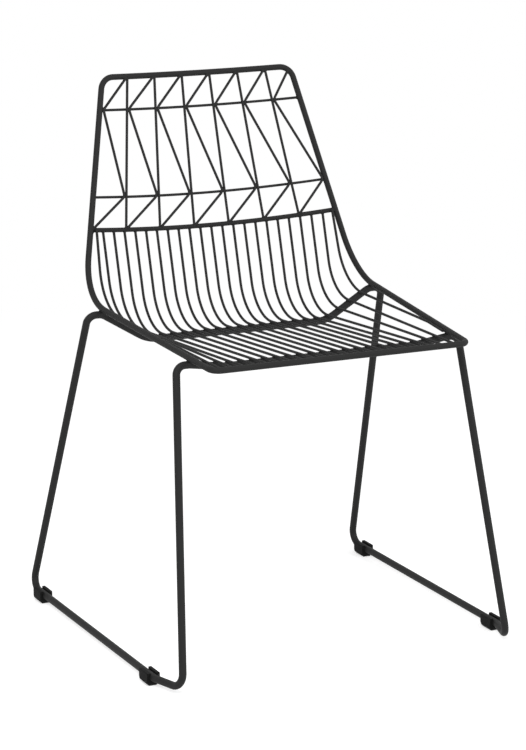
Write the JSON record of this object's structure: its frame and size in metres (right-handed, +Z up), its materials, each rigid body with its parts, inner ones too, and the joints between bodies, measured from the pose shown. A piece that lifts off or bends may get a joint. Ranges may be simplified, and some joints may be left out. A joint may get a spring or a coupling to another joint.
{
  "type": "wire mesh chair",
  "caption": "Dining chair bent from black round rod: a rimmed wire seat and back with a zigzag lattice, on a sled base with floor glides.",
  "frame": {"origin": "on the floor, under the middle of the chair's outer box", "axes": "+Z up, the sitter faces -Y, +X is to the sitter's left, and the chair is the same on both sides of the plane X = 0 but for the zigzag wires"},
  "size_m": [0.577, 0.5311, 0.7993],
  "materials": {
    "powder_coated_steel": "satin black powder coat",
    "glide_plastic": "matt black moulded plastic"
  },
  "bodies": {
    "root": {"front_base_rod": "powder_coated_steel", "front_left_glide": "glide_plastic", "front_right_glide": "glide_plastic", "lower_cross_wire": "powder_coated_steel", "mid_rail": "powder_coated_steel", "rear_base_rod": "powder_coated_steel", "rear_left_glide": "glide_plastic", "rear_right_glide": "glide_plastic", "rim_frame": "powder_coated_steel", "seat_wire_01": "powder_coated_steel", "seat_wire_02": "powder_coated_steel", "seat_wire_03": "powder_coated_steel", "seat_wire_04": "powder_coated_steel", "seat_wire_05": "powder_coated_steel", "seat_wire_06": "powder_coated_steel", "seat_wire_07": "powder_coated_steel", "seat_wire_08": "powder_coated_steel", "seat_wire_09": "powder_coated_steel", "seat_wire_10": "powder_coated_steel", "seat_wire_11": "powder_coated_steel", "seat_wire_12": "powder_coated_steel", "seat_wire_13": "powder_coated_steel", "seat_wire_14": "powder_coated_steel", "seat_wire_15": "powder_coated_steel", "seat_wire_16": "powder_coated_steel", "seat_wire_17": "powder_coated_steel", "seat_wire_18": "powder_coated_steel", "seat_wire_19": "powder_coated_steel", "seat_wire_20": "powder_coated_steel", "seat_wire_21": "powder_coated_steel", "seat_wire_22": "powder_coated_steel", "seat_wire_23": "powder_coated_steel", "upper_cross_wire": "powder_coated_steel", "upright_wire_1": "powder_coated_steel", "upright_wire_2": "powder_coated_steel", "upright_wire_3": "powder_coated_steel", "upright_wire_4": "powder_coated_steel", "upright_wire_5": "powder_coated_steel", "upright_wire_6": "powder_coated_steel", "zigzag_wire_1": "powder_coated_steel", "zigzag_wire_2": "powder_coated_steel", "zigzag_wire_3": "powder_coated_steel", "zigzag_wire_4": "powder_coated_steel", "zigzag_wire_5": "powder_coated_steel", "zigzag_wire_6": "powder_coated_steel", "zigzag_wire_7": "powder_coated_steel"}
  },
  "joints": []
}
